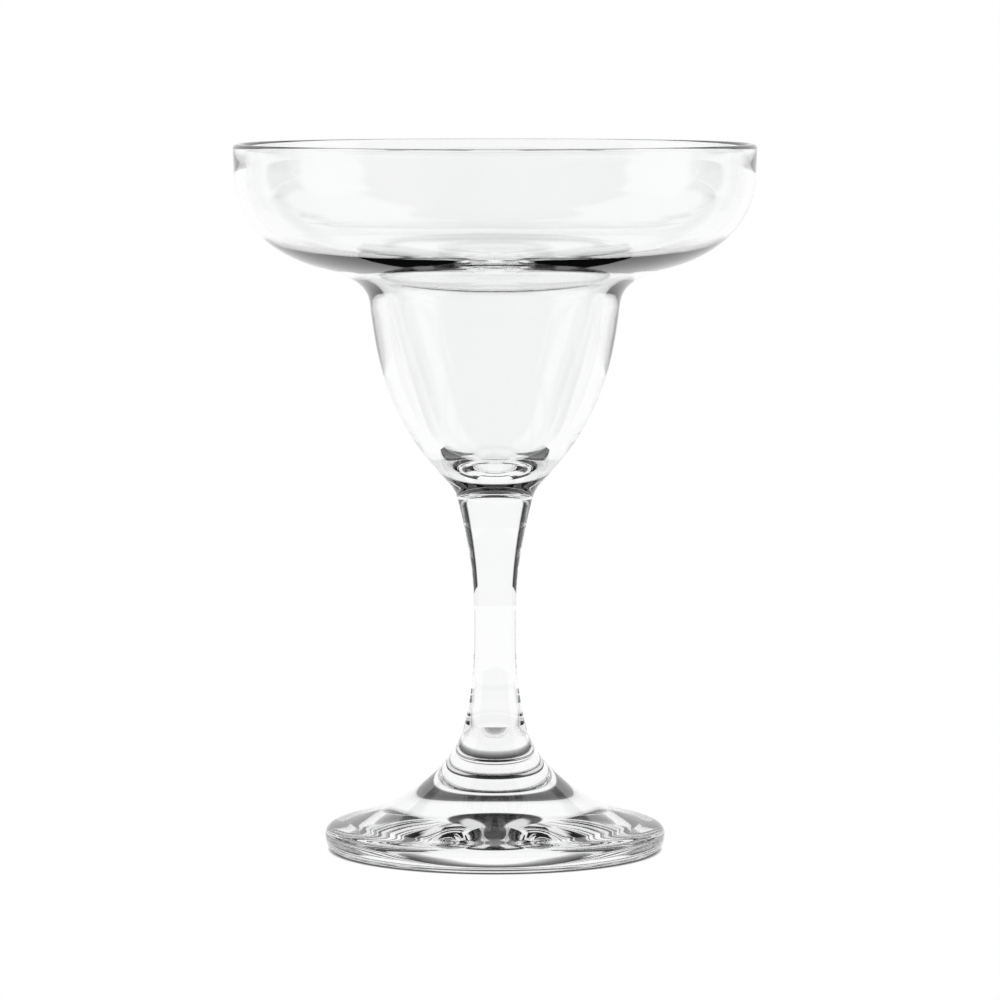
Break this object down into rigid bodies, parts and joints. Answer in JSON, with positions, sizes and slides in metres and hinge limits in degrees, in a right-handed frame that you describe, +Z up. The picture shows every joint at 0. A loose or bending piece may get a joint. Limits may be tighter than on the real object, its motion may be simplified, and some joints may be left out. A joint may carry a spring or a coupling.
{
  "type": "margarita glass",
  "caption": "Stemmed cocktail glass with a wide shallow cup over a deep narrower well, a slim waisted stem and a round foot, for serving margaritas and other iced drinks.",
  "frame": {"origin": "on the table, at the middle of the foot's standing ring", "axes": "+Z up along the glass's axis of revolution; X and Y are level and interchangeable"},
  "size_m": [0.118, 0.118, 0.16],
  "materials": {
    "clear_glass": "clear colourless soda-lime glass, fire-polished and smooth"
  },
  "bodies": {
    "root": {"bowl": "clear_glass", "stem": "clear_glass", "foot": "clear_glass"}
  },
  "joints": []
}
